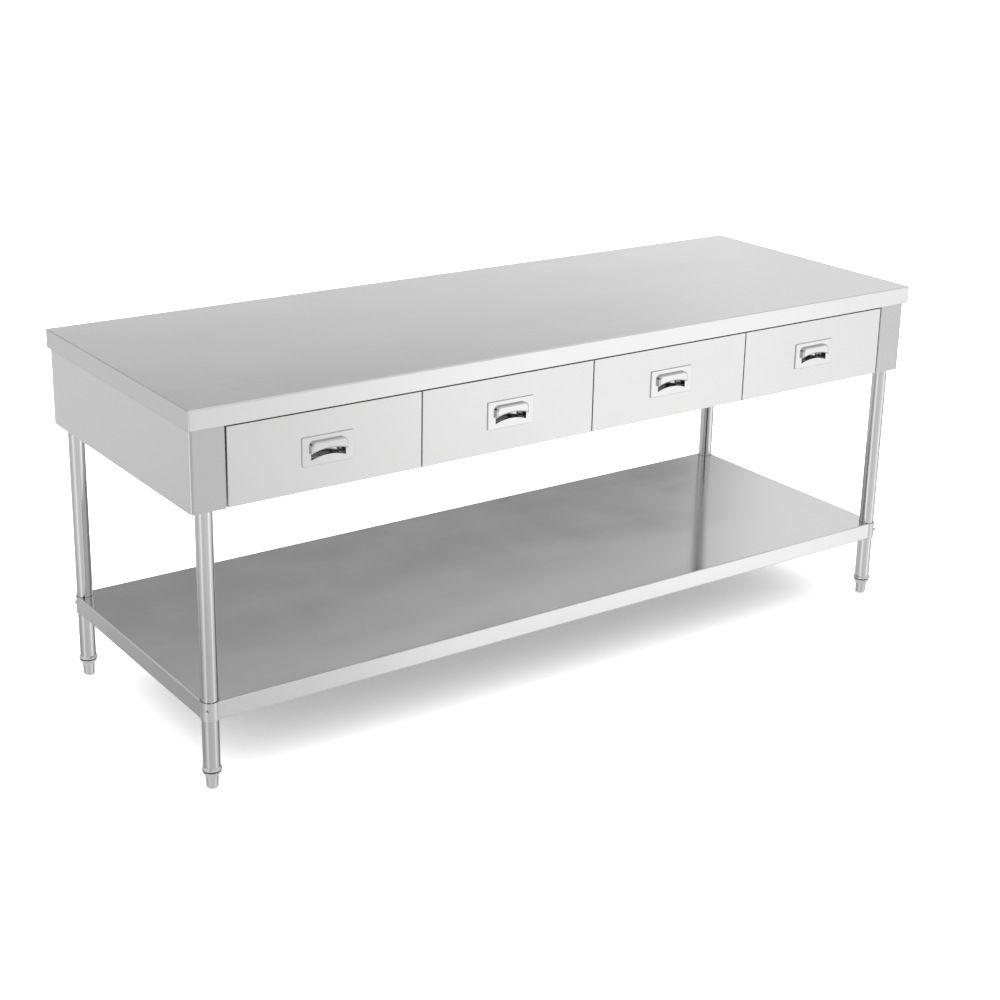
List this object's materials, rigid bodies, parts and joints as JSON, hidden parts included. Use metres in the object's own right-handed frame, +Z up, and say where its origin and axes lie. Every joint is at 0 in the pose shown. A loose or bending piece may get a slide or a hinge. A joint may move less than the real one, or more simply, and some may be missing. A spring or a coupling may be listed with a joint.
{
  "type": "work table",
  "caption": "Stainless kitchen work table: flat top with turned-down edge over a row of drawers with hooded pulls, tube legs on adjustable feet, low shelf.",
  "frame": {"origin": "on the floor under the middle of the worktop", "axes": "+X along the length, to the right as seen from the drawers; -Y at the drawer fronts; +Z up"},
  "size_m": [2.1, 0.75, 0.88],
  "materials": {
    "top_sheet": "fine brushed",
    "skirt_sheet": "fine brushed",
    "shelf_sheet": "satin rolled",
    "drawer_sheet": "fine brushed",
    "drawer_liner": "satin",
    "box_sheet": "satin",
    "frame_sheet": "zinc-coated",
    "runner": "bright zinc",
    "ball_cage": "bright",
    "board": "sealed chipboard",
    "leg_tube": "polished stainless tube",
    "socket": "satin",
    "clamp": "satin cast",
    "foot": "turned",
    "handle": "polished",
    "screw": "bright"
  },
  "bodies": {
    "root": {"worktop": "top_sheet", "worktop_board": "board", "worktop_channels": "frame_sheet", "left_side_panel": "skirt_sheet", "right_side_panel": "skirt_sheet", "rear_panel": "skirt_sheet", "front_rail": "frame_sheet", "drawer_dividers": "frame_sheet", "runner_outer_members": "runner", "leg_sockets": "socket", "socket_set_screws": "screw", "undershelf": "shelf_sheet", "undershelf_channels": "frame_sheet", "leg_clamps": "clamp", "clamp_screws": "screw", "foot_inserts": "foot", "leg_front_left": "leg_tube", "leg_front_right": "leg_tube", "leg_rear_left": "leg_tube", "leg_rear_right": "leg_tube"},
    "foot_front_left": {"foot_front_left": "foot"},
    "foot_front_right": {"foot_front_right": "foot"},
    "foot_rear_left": {"foot_rear_left": "foot"},
    "foot_rear_right": {"foot_rear_right": "foot"},
    "drawer_1": {"drawer_1_front": "drawer_sheet", "drawer_1_front_liner": "drawer_liner", "drawer_1_box": "box_sheet", "drawer_1_handle_plate": "handle", "drawer_1_handle_grip": "handle", "drawer_1_runner_inner": "runner", "drawer_1_fasteners": "screw"},
    "runner_middle_1": {"drawer_1_runner_middle": "runner", "drawer_1_ball_cages": "ball_cage"},
    "drawer_2": {"drawer_2_front": "drawer_sheet", "drawer_2_front_liner": "drawer_liner", "drawer_2_box": "box_sheet", "drawer_2_handle_plate": "handle", "drawer_2_handle_grip": "handle", "drawer_2_runner_inner": "runner", "drawer_2_fasteners": "screw"},
    "runner_middle_2": {"drawer_2_runner_middle": "runner", "drawer_2_ball_cages": "ball_cage"},
    "drawer_3": {"drawer_3_front": "drawer_sheet", "drawer_3_front_liner": "drawer_liner", "drawer_3_box": "box_sheet", "drawer_3_handle_plate": "handle", "drawer_3_handle_grip": "handle", "drawer_3_runner_inner": "runner", "drawer_3_fasteners": "screw"},
    "runner_middle_3": {"drawer_3_runner_middle": "runner", "drawer_3_ball_cages": "ball_cage"},
    "drawer_4": {"drawer_4_front": "drawer_sheet", "drawer_4_front_liner": "drawer_liner", "drawer_4_box": "box_sheet", "drawer_4_handle_plate": "handle", "drawer_4_handle_grip": "handle", "drawer_4_runner_inner": "runner", "drawer_4_fasteners": "screw"},
    "runner_middle_4": {"drawer_4_runner_middle": "runner", "drawer_4_ball_cages": "ball_cage"}
  },
  "joints": [
    {"name": "drawer_1_slide", "type": "slide", "parent": "root", "child": "drawer_1", "axis": [0, -1, 0], "range_m": [0, 0.5]},
    {"name": "runner_middle_1_slide", "type": "slide", "parent": "root", "child": "runner_middle_1", "axis": [0, -1, 0], "range_m": [0, 0.25]},
    {"name": "drawer_2_slide", "type": "slide", "parent": "root", "child": "drawer_2", "axis": [0, -1, 0], "range_m": [0, 0.5]},
    {"name": "runner_middle_2_slide", "type": "slide", "parent": "root", "child": "runner_middle_2", "axis": [0, -1, 0], "range_m": [0, 0.25]},
    {"name": "drawer_3_slide", "type": "slide", "parent": "root", "child": "drawer_3", "axis": [0, -1, 0], "range_m": [0, 0.5]},
    {"name": "runner_middle_3_slide", "type": "slide", "parent": "root", "child": "runner_middle_3", "axis": [0, -1, 0], "range_m": [0, 0.25]},
    {"name": "drawer_4_slide", "type": "slide", "parent": "root", "child": "drawer_4", "axis": [0, -1, 0], "range_m": [0, 0.5]},
    {"name": "runner_middle_4_slide", "type": "slide", "parent": "root", "child": "runner_middle_4", "axis": [0, -1, 0], "range_m": [0, 0.25]},
    {"name": "foot_front_left_adjust", "type": "slide", "parent": "root", "child": "foot_front_left", "axis": [0, 0, -1], "range_m": [-0.0025, 0.025]},
    {"name": "foot_front_right_adjust", "type": "slide", "parent": "root", "child": "foot_front_right", "axis": [0, 0, -1], "range_m": [-0.0025, 0.025]},
    {"name": "foot_rear_left_adjust", "type": "slide", "parent": "root", "child": "foot_rear_left", "axis": [0, 0, -1], "range_m": [-0.0025, 0.025]},
    {"name": "foot_rear_right_adjust", "type": "slide", "parent": "root", "child": "foot_rear_right", "axis": [0, 0, -1], "range_m": [-0.0025, 0.025]}
  ],
  "couplings": [
    {"joint": "runner_middle_1_slide", "follows": "drawer_1_slide", "ratio": 0.5},
    {"joint": "runner_middle_2_slide", "follows": "drawer_2_slide", "ratio": 0.5},
    {"joint": "runner_middle_3_slide", "follows": "drawer_3_slide", "ratio": 0.5},
    {"joint": "runner_middle_4_slide", "follows": "drawer_4_slide", "ratio": 0.5}
  ]
}
